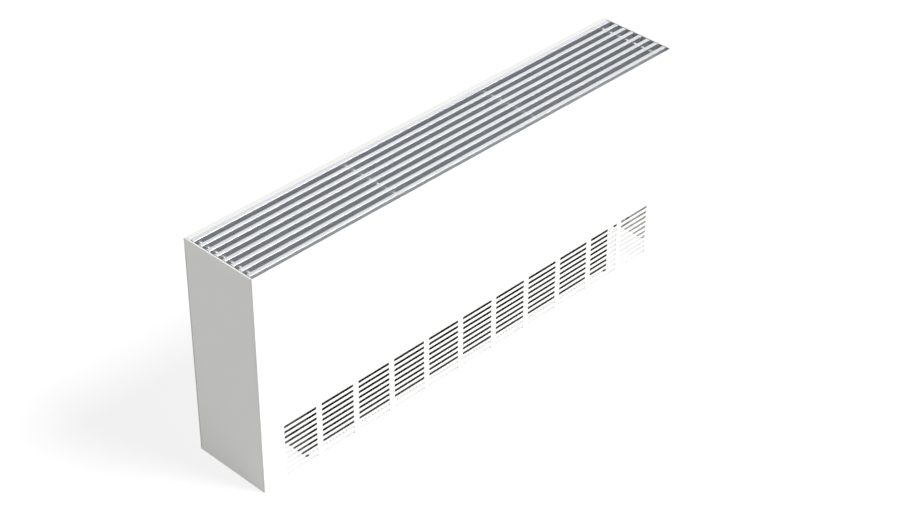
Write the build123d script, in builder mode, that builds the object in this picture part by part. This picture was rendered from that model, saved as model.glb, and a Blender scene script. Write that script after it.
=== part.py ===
from build123d import *
import os

# A floor-standing convector heater: a sheet-metal casing with an inlet-slotted front panel, a
# lift-out bar grille along the top, and a finned copper heat exchanger with two angle valves inside.
# Frame: millimetres, +Z up, the front faces -Y, the length runs along X, origin at the bottom centre.

# ---- overall sizes ----
length = 920.0
depth = 150.0
height = 400.0

# ---- sheet metal ----
panel_sheet = 1.2             # front and back panels, rails
end_sheet = 2.5               # end panels
panel_seam = 0.4              # shut line around the front panel
return_width = 20.0           # folded returns of the end panels
return_drop = 20.0            # how far the returns stop below the top
return_clearance = 1.0        # between the returns and the front's foot rail and stiffener
end_corner = 1.0

# ---- inlet slots in the front panel ----
slot_rows = 10
slot_groups = 11
slot_row_pitch = 10.2
slot_height = 5.4
slot_corner = 1.0
slot_bottom = 10.8            # centre of the lowest row above the floor
slot_bridge = 11.4            # solid metal between two groups
slot_left_margin = 45.0
slot_right_margin = 40.0

# ---- bar grille ----
bar_count = 8
bar_width = 7.5
bar_height = 18.0
bar_edge = 0.6
first_gap = 7.3               # from the front panel's back to the first bar
rear_strip = 10.8             # width of the back panel's top flange
grille_side_gap = 0.5         # between the last bar and that flange
bar_end_gap = 1.5             # between the bars' ends and the end panels
rod_radius = 2.5
spacer_radius = 4.0
rod_end_distance = 17.9       # tie rods in from the outer faces of the end panels
crossing_drop = 8.3           # tops of spacers and braces below the grille's top

# ---- grille supports ----
brace_sheet = 2.0
brace_depth = 20.0
brace_clearance = 0.4
rail_depth = 36.0
front_rail_flange = 10.0
rear_rail_flange = 15.0
ledge_width = 12.0
ledge_leg = 16.0

# ---- heat exchanger ----
left_space = 106.0            # connection space, outer face to first fin
right_space = 128.0
fin_standoff = 14.0           # fins in from the front and back faces
fin_bottom = 6.5
fin_height = 103.0
fin_sheet = 0.4
fin_spacing = 7.0             # wanted; the pitch comes out even over the length
collar_wall = 0.4
tube_radius = 7.5
tube_wall = 1.0
tube_half_y = 30.0
tube_half_z = 25.0
tube_left_run = 30.0          # straight tube beyond the fins on the bend side
tube_right_run = 12.0
tail_run = 28.0               # straight tube beyond the fins up to the union tails
plate_sheet = 1.5
plate_gap = 3.0
plate_flange = 20.0
hat_width = 16.0
hat_brim = 12.0
hat_height = 60.0

# ---- valves ----
valve_reach = 73.0            # valve axis beyond the last fin
pipe_thread_radius = 9.3
pipe_thread_length = 14.0
valve_drop = 30.0             # inlet end below the tube axis
valve_top = 14.0
barrel_step = 1.0             # the barrel is a little fatter than the spigot
tail_socket = 16.0            # how far the tube runs into its union tail
tail_reach = 11.0             # how far the union tail runs on past the tube
tail_wall = 2.0
collar_step = 2.0             # the union tail's collar stands out from its wall
collar_length = 4.5
spigot_step = 0.5             # the spigot is a little fatter than the collar
nut_wall = 3.0
nut_back = 9.0                # the nut behind the tail's end
nut_front = 11.5              # the nut over the spigot
gasket_sheet = 1.5
water_bore = 6.5
chamber_radius = 9.0
seat_drop = 13.0              # seat below the tube axis
hex_step = 0.5                # the pipe end's hexagon stands out from the barrel
hex_height = 16.0
stem_radius = 3.0
stem_rise = 14.0              # the supply stem above the bonnet's neck
plug_gap = 1.0                # round the plug in its chamber
plug_height = 4.0
plug_lift = 3.0
bonnet_step = 3.0             # the bonnet's hexagon stands out from the chamber
bonnet_hex_height = 8.0
bonnet_gap = 0.5              # above the body's side port
neck_wall = 5.0
neck_height = 11.0
wheel_wall = 10.0             # round the neck
wheel_height = 38.0
wheel_lift = 3.0              # the handwheel and the cap start above the bonnet's hexagon
wheel_edge = 3.0
wheel_crown = 8.0             # solid top above the stem's hollow
wheel_skirt = 4.0             # plain ring below the grips
wheel_grips = 12
grip_radius = 3.0
grip_depth = 1.6
cap_wall = 4.0
cap_height = 26.0
cap_edge = 2.0
hollow_step = 2.0             # the stem's hollow is narrower than the neck
spindle_stub = 4.0            # the return plug's own stem inside the bonnet
spindle_gap = 0.5             # between that stem and the spindle when the plug is up
spindle_shoulder = 2.0        # round part above the neck
spindle_square = 6.0
cap_headroom = 2.0

# ---- air vent ----
vent_port = 1.5
boss_radius = 7.0
boss_height = 8.0             # above the tube
vent_thread = 4.0
vent_flats = 13.0
vent_hex_height = 6.0
vent_thread_gap = 2.0         # under the vent's thread in its boss
vent_head_radius = 5.0
vent_head_height = 7.0
nozzle_radius = 2.0
nozzle_reach = 10.0
bleed_radius = 2.5
bleed_square = 5.0
bleed_head = 5.0
bleed_bore_start = 2.0        # the bleed screw's bore above the boss
bleed_seat_gap = 1.0

# ---- fits and fasteners ----
running_fit = 0.05
loose_fit = 0.3
screw_radius = 2.0
screw_head_radius = 3.8
screw_head_height = 2.2
wall_hole_radius = 4.0
wall_hole_spacing = 600.0
wall_hole_rise = 150.0
wall_hole_low = 170.0
clip_sheet = 0.8
clip_size = 12.0
clip_slot = 4.0
clip_play = 1.0               # between a clip's ends and its slot's
clip_bulb = 1.4
clip_inset = 60.0             # clips up from the floor and down from the top
foot_leg = 6.0
foot_rise = 7.5
stiffener_level = 250.0
stiffener_depth = 8.0
stiffener_width = 40.0

# ---- places worked out from the sizes above ----
x_outer = length / 2
x_inner = x_outer - end_sheet
y_front = -depth / 2
y_back = depth / 2
y_panel_back = y_front + panel_sheet
y_end_front = y_panel_back + panel_seam
y_return_back = y_end_front + end_sheet
y_back_inner = y_back - panel_sheet
y_rear_return = y_back_inner - end_sheet
return_top = height - return_drop
bar_bottom = height - bar_height
crossing_top = height - crossing_drop
bar_first = y_panel_back + first_gap
bar_last = y_back - rear_strip - grille_side_gap - bar_width
bar_pitch = (bar_last - bar_first) / (bar_count - 1)
bar_half = x_inner - bar_end_gap
bar_starts = [bar_first + i * bar_pitch for i in range(bar_count)]
bar_gap = bar_pitch - bar_width
rod_x = x_outer - rod_end_distance
rod_z = crossing_top - spacer_radius
brace_x = length / 6
fin_start = -x_outer + left_space
fin_end = x_outer - right_space
fin_front = y_front + fin_standoff
fin_back = y_back - fin_standoff
fin_middle = fin_bottom + fin_height / 2
fin_count = round((fin_end - fin_start - fin_sheet) / fin_spacing) + 1
fin_pitch = (fin_end - fin_start - fin_sheet) / (fin_count - 1)
upper_z = fin_middle + tube_half_z
lower_z = fin_middle - tube_half_z
tube_left = fin_start - tube_left_run
tube_right = fin_end + tube_right_run
tail_tube_end = fin_end + tail_run
valve_x = fin_end + valve_reach
inlet_z = upper_z - valve_drop
seat_z = upper_z - seat_drop
barrel_top = upper_z + valve_top
tail_radius = tube_radius + tail_wall
tail_collar = tail_radius + collar_step
spigot_radius = tail_collar + spigot_step
barrel_radius = spigot_radius + barrel_step
hex_flats = 2 * (barrel_radius + hex_step)
nut_flats = 2 * (spigot_radius + nut_wall)
bonnet_flats = 2 * (chamber_radius + bonnet_step)
plug_radius = chamber_radius - plug_gap
neck_radius = stem_radius + neck_wall
wheel_radius = neck_radius + wheel_wall
cap_radius = neck_radius + cap_wall
neck_bottom = barrel_top + bonnet_hex_height
neck_top = neck_bottom + neck_height
vent_x = fin_start - tube_left_run / 2

sides = {"left": -1, "right": 1}
tube_rows = {"front": -tube_half_y, "rear": tube_half_y}
tube_levels = {"upper": upper_z, "lower": lower_z}
valve_rows = {"supply": -tube_half_y, "return": tube_half_y}

os.makedirs("parts", exist_ok=True)


def finish(builder, name):
    """Label a finished piece and write its STEP file."""
    builder.part.label = name
    export_step(builder.part, f"parts/{name}.step")


def block(x_span, y_span, z_span, mode=Mode.ADD):
    """Add a straight block between the two ends of each span, whichever way round they are."""
    spans = (x_span, y_span, z_span)
    with Locations(tuple((a + b) / 2 for a, b in spans)):
        Box(*(abs(b - a) for a, b in spans), mode=mode)


def rod(start, direction, radius, span, mode=Mode.ADD):
    """Add a round bar from start along direction."""
    with BuildSketch(Plane(origin=start, z_dir=direction)) as section:
        Circle(radius)
    extrude(section.sketch, amount=span, mode=mode)


def hexagon(start, direction, flats, span):
    """Add a hexagonal bar from start along direction."""
    with BuildSketch(Plane(origin=start, z_dir=direction)) as section:
        RegularPolygon(flats / 2, 6, major_radius=False)
    extrude(section.sketch, amount=span)


def screw(start, direction, grip):
    """Add a pan-head screw: its head stands on start and its shank runs grip along direction."""
    back = tuple(-screw_head_height * d for d in direction)
    rod(tuple(s + b for s, b in zip(start, back)), direction, screw_head_radius, screw_head_height)
    rod(start, direction, screw_radius, grip)


# ================= casing =================

back_screw_levels = (clip_inset, height / 2, height - clip_inset - rail_depth)
return_middle = x_inner - return_width / 2
clip_levels = (clip_inset, height - clip_inset - rail_depth)
rail_top = bar_bottom
rail_screw_z = rail_top - rail_depth / 2

# back panel: one sheet, folded forwards along its top beside the grille
with BuildPart() as back_panel:
    block((-x_outer, x_outer), (y_back_inner, y_back), (0, height))
    block((-x_inner + panel_seam, x_inner - panel_seam),
          (y_back - rear_strip, y_back_inner),
          (height - panel_sheet, height))
    hole_middle = wall_hole_low + wall_hole_rise / 2
    with BuildSketch(Plane(origin=(0, y_back, hole_middle), x_dir=(1, 0, 0), z_dir=(0, -1, 0))):
        with GridLocations(wall_hole_spacing, wall_hole_rise, 2, 2):
            Circle(wall_hole_radius)
    extrude(amount=panel_sheet, mode=Mode.SUBTRACT)
    for side in sides.values():
        for level in back_screw_levels:
            rod((side * return_middle, y_back_inner, level), (0, 1, 0),
                screw_radius + running_fit, panel_sheet, Mode.SUBTRACT)
finish(back_panel, "back_panel")

# end panels: a plate with a folded return along its front and its rear edge
for side_name, side in sides.items():
    with BuildPart() as end_panel:
        block((side * x_inner, side * x_outer), (y_end_front, y_back_inner), (0, height))
        return_span = (side * (x_inner - return_width), side * x_inner)
        block(return_span, (y_end_front, y_return_back), (0, return_top))
        block(return_span, (y_rear_return, y_back_inner), (0, return_top))
        for level in clip_levels:
            block((side * return_middle - clip_slot / 2, side * return_middle + clip_slot / 2),
                  (y_end_front, y_return_back),
                  (level - clip_size / 2 - clip_play, level + clip_size / 2 + clip_play),
                  Mode.SUBTRACT)
        for level in back_screw_levels:
            rod((side * return_middle, y_rear_return, level), (0, 1, 0),
                screw_radius + running_fit, end_sheet, Mode.SUBTRACT)
        for start in (y_end_front, y_rear_return):
            rod((side * return_middle, start, rail_screw_z), (0, 1, 0),
                screw_radius + running_fit, end_sheet, Mode.SUBTRACT)
        upright = end_panel.edges().filter_by(Axis.Z)
        corners = upright.group_by(Axis.X)[-1 if side > 0 else 0]
        fillet(corners, radius=end_corner)
    finish(end_panel, f"{side_name}_end_panel")

# grille rails: folded channels that tie the end panels together under the grille
with BuildPart() as front_rail:
    rail_x = (-x_inner + panel_seam, x_inner - panel_seam)
    block(rail_x, (y_return_back, y_return_back + panel_sheet), (rail_top - rail_depth, rail_top))
    block(rail_x, (y_return_back, y_return_back + front_rail_flange), (rail_top - panel_sheet, rail_top))
    block(rail_x, (y_return_back, y_return_back + front_rail_flange / 2),
          (rail_top - rail_depth, rail_top - rail_depth + panel_sheet))
    for side in sides.values():
        rod((side * return_middle, y_return_back, rail_screw_z), (0, 1, 0),
            screw_radius + running_fit, panel_sheet, Mode.SUBTRACT)
finish(front_rail, "front_rail")

with BuildPart() as rear_rail:
    block(rail_x, (y_rear_return - panel_sheet, y_rear_return), (rail_top - rail_depth, rail_top))
    block(rail_x, (y_rear_return - rear_rail_flange, y_rear_return), (rail_top - panel_sheet, rail_top))
    block(rail_x, (y_rear_return - rear_rail_flange / 2, y_rear_return),
          (rail_top - rail_depth, rail_top - rail_depth + panel_sheet))
    for side in sides.values():
        rod((side * return_middle, y_rear_return - panel_sheet, rail_screw_z), (0, 1, 0),
            screw_radius + running_fit, panel_sheet, Mode.SUBTRACT)
finish(rear_rail, "rear_rail")

# braces: flat bars on edge that stand on both rails and pass through notches in the grille bars
brace_front = y_return_back + panel_sheet + loose_fit
brace_back = y_rear_return - panel_sheet - loose_fit
drop_front = y_return_back + front_rail_flange + brace_clearance
drop_back = y_rear_return - rear_rail_flange - brace_clearance
for side_name, side in sides.items():
    with BuildPart() as brace:
        with BuildSketch(Plane.YZ.offset(side * brace_x - brace_sheet / 2)):
            with BuildLine():
                Polyline((brace_front, crossing_top), (brace_front, rail_top), (drop_front, rail_top),
                         (drop_front, crossing_top - brace_depth), (drop_back, crossing_top - brace_depth),
                         (drop_back, rail_top), (brace_back, rail_top), (brace_back, crossing_top),
                         close=True)
            make_face()
        extrude(amount=brace_sheet)
    finish(brace, f"{side_name}_brace")

# ledges: angles on the end panels that carry the bars' ends
ledge_y = (drop_front, drop_back)
for side_name, side in sides.items():
    with BuildPart() as ledge:
        block((side * x_inner, side * (x_inner - ledge_width)), ledge_y, (rail_top - panel_sheet, rail_top))
        block((side * x_inner, side * (x_inner - panel_sheet)), ledge_y, (rail_top - ledge_leg, rail_top))
    finish(ledge, f"{side_name}_ledge")

# casing screws: driven from inside, their tips end flush in the sheet they hold
with BuildPart() as casing_screws:
    for side in sides.values():
        for level in back_screw_levels:
            screw((side * return_middle, y_rear_return, level), (0, 1, 0), end_sheet + panel_sheet)
        screw((side * return_middle, y_rear_return - panel_sheet, rail_screw_z), (0, 1, 0),
              panel_sheet + end_sheet)
        screw((side * return_middle, y_return_back + panel_sheet, rail_screw_z), (0, -1, 0),
              panel_sheet + end_sheet)
finish(casing_screws, "casing_screws")

# ================= pull-off front =================

group_pitch = (length - slot_left_margin - slot_right_margin + slot_bridge) / slot_groups
slot_length = group_pitch - slot_bridge
slots_middle = (slot_left_margin - slot_right_margin) / 2
slots_level = slot_bottom + (slot_rows - 1) * slot_row_pitch / 2

with BuildPart() as front_panel:
    with BuildSketch(Plane.XZ.offset(-y_panel_back)):
        with Locations((0, height / 2)):
            Rectangle(length, height)
        with Locations((slots_middle, slots_level)):
            with GridLocations(group_pitch, slot_row_pitch, slot_groups, slot_rows):
                RectangleRounded(slot_length, slot_height, slot_corner, mode=Mode.SUBTRACT)
    extrude(amount=panel_sheet)
finish(front_panel, "front_panel")

# foot rail: an angle welded along the panel's bottom edge, between the end panels' returns
stiff_half = x_inner - return_width - return_clearance
with BuildPart() as foot_rail:
    block((-stiff_half, stiff_half), (y_panel_back, y_panel_back + panel_sheet), (0, foot_rise))
    block((-stiff_half, stiff_half), (y_panel_back, y_panel_back + foot_leg), (0, panel_sheet))
finish(foot_rail, "foot_rail")

# stiffener: a shallow hat section welded across the panel's plain upper half
with BuildPart() as panel_stiffener:
    hat_low = stiffener_level - stiffener_width / 2
    hat_high = stiffener_level + stiffener_width / 2
    hat_y = (y_panel_back, y_panel_back + stiffener_depth)
    brim_y = (y_panel_back, y_panel_back + panel_sheet)
    half = (-stiff_half, stiff_half)
    block(half, (hat_y[1] - panel_sheet, hat_y[1]), (hat_low, hat_high))
    block(half, hat_y, (hat_low, hat_low + panel_sheet))
    block(half, hat_y, (hat_high - panel_sheet, hat_high))
    block(half, brim_y, (hat_low - hat_brim, hat_low + panel_sheet))
    block(half, brim_y, (hat_high - panel_sheet, hat_high + hat_brim))
finish(panel_stiffener, "panel_stiffener")

# clips: spring tongues that push into slots in the end panels' front returns
clip_base_y = (y_panel_back, y_panel_back + panel_seam)
with BuildPart() as panel_clips:
    for side in sides.values():
        for level in clip_levels:
            clip_z = (level - clip_size / 2, level + clip_size / 2)
            clip_x = side * return_middle
            block((clip_x - clip_size / 2, clip_x + clip_size / 2), clip_base_y, clip_z)
            block((clip_x - clip_sheet / 2, clip_x + clip_sheet / 2),
                  (y_panel_back, y_return_back + 2 * clip_bulb), clip_z)
            rod((clip_x, y_return_back + 2 * clip_bulb, clip_z[0]), (0, 0, 1), clip_bulb, clip_size)
finish(panel_clips, "panel_clips")

# ================= lift-out grille =================

for number, start in enumerate(bar_starts, start=1):
    with BuildPart() as grille_bar:
        block((-bar_half, bar_half), (start, start + bar_width), (bar_bottom, height))
        top_edges = grille_bar.edges().filter_by(Axis.X).group_by(Axis.Z)[-1]
        fillet(top_edges, radius=bar_edge)
        for side in sides.values():
            notch_half = brace_sheet / 2 + brace_clearance
            block((side * brace_x - notch_half, side * brace_x + notch_half), (start, start + bar_width),
                  (bar_bottom, crossing_top + brace_clearance), Mode.SUBTRACT)
            rod((side * rod_x, start, rod_z), (0, 1, 0), rod_radius + running_fit, bar_width, Mode.SUBTRACT)
    finish(grille_bar, f"grille_bar_{number}")

for side_name, side in sides.items():
    with BuildPart() as tie_rod:
        rod((side * rod_x, bar_first, rod_z), (0, 1, 0), rod_radius, bar_last + bar_width - bar_first)
    finish(tie_rod, f"{side_name}_tie_rod")

with BuildPart() as grille_spacers:
    for side in sides.values():
        for start in bar_starts[:-1]:
            with BuildSketch(Plane(origin=(side * rod_x, start + bar_width, rod_z), z_dir=(0, 1, 0))):
                Circle(spacer_radius)
                Circle(rod_radius + running_fit, mode=Mode.SUBTRACT)
    extrude(amount=bar_gap)
finish(grille_spacers, "grille_spacers")

# ================= heat exchanger =================

tube_places = [(y, z) for y in tube_rows.values() for z in tube_levels.values()]
fin_planes = [Plane.YZ.offset(fin_start + i * fin_pitch) for i in range(fin_count)]
collar_bore = tube_radius + running_fit

# fin pack: plate fins whose collars are pressed end to end over the four tubes
with BuildPart() as fin_pack:
    with BuildSketch(*fin_planes):
        with Locations((0, fin_middle)):
            Rectangle(fin_back - fin_front, fin_height)
        with Locations(*tube_places):
            Circle(collar_bore, mode=Mode.SUBTRACT)
    extrude(amount=fin_sheet)
    with BuildSketch(Plane.YZ.offset(fin_start)):
        with Locations(*tube_places):
            Circle(collar_bore + collar_wall)
            Circle(collar_bore, mode=Mode.SUBTRACT)
    extrude(amount=fin_end - fin_start)
finish(fin_pack, "fin_pack")

for row_name, y in tube_rows.items():
    for level_name, z in tube_levels.items():
        end = tail_tube_end if level_name == "upper" else tube_right
        with BuildPart() as tube:
            with BuildSketch(Plane.YZ.offset(tube_left)):
                with Locations((y, z)):
                    Circle(tube_radius)
                    Circle(tube_radius - tube_wall, mode=Mode.SUBTRACT)
            extrude(amount=end - tube_left)
            if (row_name, level_name) == ("rear", "upper"):
                rod((vent_x, y, z), (0, 0, 1), vent_port, tube_radius, Mode.SUBTRACT)
        finish(tube, f"{row_name}_{level_name}_tube")

# bends on the left join each row's two levels; the crossover on the right joins the lower tubes
for row_name, y in tube_rows.items():
    with BuildPart() as bend:
        with BuildSketch(Plane(origin=(tube_left, y, upper_z), z_dir=(-1, 0, 0))):
            Circle(tube_radius)
            Circle(tube_radius - tube_wall, mode=Mode.SUBTRACT)
        revolve(axis=Axis((tube_left, y, fin_middle), (0, -1, 0)), revolution_arc=180)
    finish(bend, f"{row_name}_return_bend")

with BuildPart() as crossover_bend:
    with BuildSketch(Plane(origin=(tube_right, -tube_half_y, lower_z), z_dir=(1, 0, 0))):
        Circle(tube_radius)
        Circle(tube_radius - tube_wall, mode=Mode.SUBTRACT)
    revolve(axis=Axis((tube_right, 0, lower_z), (0, 0, 1)), revolution_arc=180)
finish(crossover_bend, "crossover_bend")

# end plates stand on the floor, hold the tubes and turn back along their rear edge to meet the brackets
plate_inner = {"left": fin_start - plate_gap, "right": fin_end + plate_gap}
hat_front = fin_back + plate_sheet
hat_z = (fin_middle - hat_height / 2, fin_middle + hat_height / 2)
for side_name, side in sides.items():
    x_plate = plate_inner[side_name]
    with BuildPart() as end_plate:
        block((x_plate, x_plate + side * plate_sheet), (fin_front, fin_back),
              (0, fin_bottom + fin_height))
        block((x_plate, x_plate + side * plate_flange), (fin_back, hat_front),
              (fin_bottom, fin_bottom + fin_height))
        with BuildSketch(Plane.YZ.offset(x_plate)):
            with Locations(*tube_places):
                Circle(tube_radius + loose_fit)
        extrude(amount=side * plate_sheet, mode=Mode.SUBTRACT)
        hat_x = x_plate + side * (plate_flange - hat_width / 2)
        rod((hat_x, fin_back, fin_middle), (0, 1, 0), screw_radius + running_fit, plate_sheet, Mode.SUBTRACT)
    finish(end_plate, f"{side_name}_end_plate")

    # bracket: a hat section between the end plate's flange and the back panel
    with BuildPart() as bracket:
        hat_span = (hat_x - hat_width / 2, hat_x + hat_width / 2)
        block(hat_span, (hat_front, hat_front + plate_sheet), hat_z)
        for edge, outward in ((hat_span[0], 1), (hat_span[1], -1)):
            block((edge, edge + outward * plate_sheet), (hat_front, y_back_inner), hat_z)
            brim_screw_x = edge - outward * hat_brim / 2
            block((edge + outward * plate_sheet, edge - outward * hat_brim),
                  (y_back_inner - plate_sheet, y_back_inner), hat_z)
            rod((brim_screw_x, y_back_inner - plate_sheet, fin_middle), (0, 1, 0),
                screw_radius + running_fit, plate_sheet, Mode.SUBTRACT)
        rod((hat_x, hat_front, fin_middle), (0, 1, 0), screw_radius + running_fit, plate_sheet, Mode.SUBTRACT)
    finish(bracket, f"{side_name}_bracket")

# bracket screws: one through each brim into the back panel and one through each end plate's flange
with BuildPart() as bracket_screws:
    for side_name, side in sides.items():
        hat_x = plate_inner[side_name] + side * (plate_flange - hat_width / 2)
        for brim_side in sides.values():
            screw((hat_x + brim_side * (hat_width + hat_brim) / 2, y_back_inner - plate_sheet, fin_middle),
                  (0, 1, 0), plate_sheet)
        screw((hat_x, fin_back, fin_middle), (0, 1, 0), 2 * plate_sheet + 1)
finish(bracket_screws, "bracket_screws")

# ================= air vent =================

boss_top = upper_z + tube_radius + boss_height
vent_hex_top = boss_top + vent_hex_height
vent_top = vent_hex_top + vent_head_height
nozzle_z = vent_hex_top + vent_head_height / 2
bleed_bore_bottom = boss_top + bleed_bore_start
bleed_bottom = bleed_bore_bottom + bleed_seat_gap

with BuildPart() as vent_boss:
    rod((vent_x, tube_half_y, upper_z), (0, 0, 1), boss_radius, boss_top - upper_z)
    rod((vent_x - boss_radius, tube_half_y, upper_z), (1, 0, 0), collar_bore, 2 * boss_radius, Mode.SUBTRACT)
    rod((vent_x, tube_half_y, upper_z), (0, 0, 1), vent_thread + running_fit, boss_top - upper_z,
        Mode.SUBTRACT)
finish(vent_boss, "vent_boss")

with BuildPart() as air_vent_body:
    rod((vent_x, tube_half_y, boss_top), (0, 0, -1), vent_thread, boss_height - vent_thread_gap)
    hexagon((vent_x, tube_half_y, boss_top), (0, 0, 1), vent_flats, vent_hex_height)
    rod((vent_x, tube_half_y, vent_hex_top), (0, 0, 1), vent_head_radius, vent_head_height)
    rod((vent_x, tube_half_y, nozzle_z), (0, -1, 0), nozzle_radius, nozzle_reach)
    rod((vent_x, tube_half_y, boss_top - boss_height), (0, 0, 1), vent_port, boss_height + vent_hex_height,
        Mode.SUBTRACT)
    rod((vent_x, tube_half_y, bleed_bore_bottom), (0, 0, 1), bleed_radius + running_fit,
        vent_top - boss_top, Mode.SUBTRACT)
    rod((vent_x, tube_half_y, nozzle_z), (0, -1, 0), nozzle_radius / 2, nozzle_reach, Mode.SUBTRACT)
finish(air_vent_body, "air_vent_body")

# bleed screw: turned by a key on its square head
with BuildPart() as bleed_screw:
    rod((vent_x, tube_half_y, bleed_bottom), (0, 0, 1), bleed_radius, vent_top - bleed_bottom)
    block((vent_x - bleed_square / 2, vent_x + bleed_square / 2),
          (tube_half_y - bleed_square / 2, tube_half_y + bleed_square / 2),
          (vent_top, vent_top + bleed_head))
finish(bleed_screw, "bleed_screw")

# ================= valves =================

tail_start = tail_tube_end - tail_socket
tail_end = tail_tube_end + tail_reach
spigot_end = tail_end + gasket_sheet
nut_start = tail_end - nut_back
nut_end = spigot_end + nut_front
collar_start = tail_end - collar_length
plug_top = seat_z + plug_height
bonnet_bottom = upper_z + water_bore + bonnet_gap
wheel_bottom = neck_bottom + wheel_lift
wheel_top = wheel_bottom + wheel_height
stem_top = neck_top + stem_rise
stem_cavity = neck_radius - hollow_step
stub_top = bonnet_bottom + spindle_stub

for row_name, y in valve_rows.items():
    axis = (valve_x, y)

    # body: angle pattern, pipe from the floor below, spigot towards the exchanger
    with BuildPart() as valve_body:
        rod((*axis, inlet_z), (0, 0, 1), barrel_radius, barrel_top - inlet_z)
        hexagon((*axis, inlet_z), (0, 0, 1), hex_flats, hex_height)
        rod((valve_x, y, upper_z), (-1, 0, 0), spigot_radius, valve_x - spigot_end)
        rod((*axis, inlet_z), (0, 0, 1), pipe_thread_radius, pipe_thread_length, Mode.SUBTRACT)
        rod((*axis, inlet_z), (0, 0, 1), water_bore, seat_z - inlet_z, Mode.SUBTRACT)
        rod((*axis, seat_z), (0, 0, 1), chamber_radius, barrel_top - seat_z, Mode.SUBTRACT)
        rod((valve_x, y, upper_z), (-1, 0, 0), water_bore, valve_x - spigot_end, Mode.SUBTRACT)
    finish(valve_body, f"{row_name}_valve_body")

    # bonnet: screwed into the body's top, guides the stem
    with BuildPart() as bonnet:
        rod((*axis, bonnet_bottom), (0, 0, 1), chamber_radius - running_fit, barrel_top - bonnet_bottom)
        hexagon((*axis, barrel_top), (0, 0, 1), bonnet_flats, bonnet_hex_height)
        rod((*axis, neck_bottom), (0, 0, 1), neck_radius, neck_height)
        rod((*axis, bonnet_bottom), (0, 0, 1), stem_radius + running_fit, neck_top - bonnet_bottom,
            Mode.SUBTRACT)
    finish(bonnet, f"{row_name}_bonnet")

    # union tail, gasket and nut between the valve's spigot and the tube
    with BuildPart() as union_tail:
        rod((tail_start, y, upper_z), (1, 0, 0), tail_radius, tail_end - tail_start)
        rod((collar_start, y, upper_z), (1, 0, 0), tail_collar, tail_end - collar_start)
        rod((tail_start, y, upper_z), (1, 0, 0), collar_bore, tail_tube_end - tail_start, Mode.SUBTRACT)
        rod((tail_tube_end, y, upper_z), (1, 0, 0), water_bore, tail_end - tail_tube_end, Mode.SUBTRACT)
    finish(union_tail, f"{row_name}_union_tail")

    with BuildPart() as union_gasket:
        with BuildSketch(Plane.YZ.offset(tail_end)):
            with Locations((y, upper_z)):
                Circle(tail_collar)
                Circle(water_bore, mode=Mode.SUBTRACT)
        extrude(amount=gasket_sheet)
    finish(union_gasket, f"{row_name}_union_gasket")

    with BuildPart() as union_nut:
        hexagon((nut_start, y, upper_z), (1, 0, 0), nut_flats, nut_end - nut_start)
        rod((nut_start, y, upper_z), (1, 0, 0), tail_radius + running_fit, nut_end - nut_start,
            Mode.SUBTRACT)
        rod((collar_start, y, upper_z), (1, 0, 0), spigot_radius + running_fit, nut_end - collar_start,
            Mode.SUBTRACT)
    finish(union_nut, f"{row_name}_union_nut")

    # plug: the disc that closes the seat, with its stem; the supply stem reaches into the handwheel
    plug_stem_top = stem_top if row_name == "supply" else stub_top
    with BuildPart() as plug:
        rod((*axis, seat_z), (0, 0, 1), plug_radius, plug_height)
        rod((*axis, plug_top), (0, 0, 1), stem_radius, plug_stem_top - plug_top)
    finish(plug, f"{row_name}_plug")

# handwheel: a hollow ribbed cap that turns on the supply bonnet's neck and lifts the plug
with BuildPart() as handwheel:
    supply_axis = (valve_x, -tube_half_y)
    rod((*supply_axis, wheel_bottom), (0, 0, 1), wheel_radius, wheel_height)
    fillet(handwheel.edges().filter_by(GeomType.CIRCLE).sort_by(Axis.Z)[-1], radius=wheel_edge)
    with BuildSketch(Plane((*supply_axis, wheel_bottom + wheel_skirt))):
        with PolarLocations(wheel_radius + grip_radius - grip_depth, wheel_grips):
            Circle(grip_radius)
    extrude(amount=wheel_height, mode=Mode.SUBTRACT)
    rod((*supply_axis, wheel_bottom), (0, 0, 1), neck_radius + running_fit, neck_top - wheel_bottom,
        Mode.SUBTRACT)
    rod((*supply_axis, neck_top), (0, 0, 1), stem_cavity, wheel_top - wheel_crown - neck_top, Mode.SUBTRACT)
finish(handwheel, "handwheel")

# return valve: a key-turned spindle above its plug, under a lift-off cap
return_axis = (valve_x, tube_half_y)
spindle_bottom = stub_top + plug_lift + spindle_gap
square_bottom = neck_top + spindle_shoulder
spindle_top = square_bottom + spindle_square
with BuildPart() as return_spindle:
    rod((*return_axis, spindle_bottom), (0, 0, 1), stem_radius, square_bottom - spindle_bottom)
    flat = stem_radius / 2 ** 0.5
    block((valve_x - flat, valve_x + flat), (tube_half_y - flat, tube_half_y + flat),
          (square_bottom, spindle_top))
finish(return_spindle, "return_spindle")

with BuildPart() as lockshield_cap:
    rod((*return_axis, wheel_bottom), (0, 0, 1), cap_radius, cap_height)
    fillet(lockshield_cap.edges().filter_by(GeomType.CIRCLE).sort_by(Axis.Z)[-1], radius=cap_edge)
    rod((*return_axis, wheel_bottom), (0, 0, 1), neck_radius + loose_fit, neck_top - wheel_bottom,
        Mode.SUBTRACT)
    rod((*return_axis, neck_top), (0, 0, 1), stem_cavity, spindle_top + cap_headroom - neck_top,
        Mode.SUBTRACT)
finish(lockshield_cap, "lockshield_cap")
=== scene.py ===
import math

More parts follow.
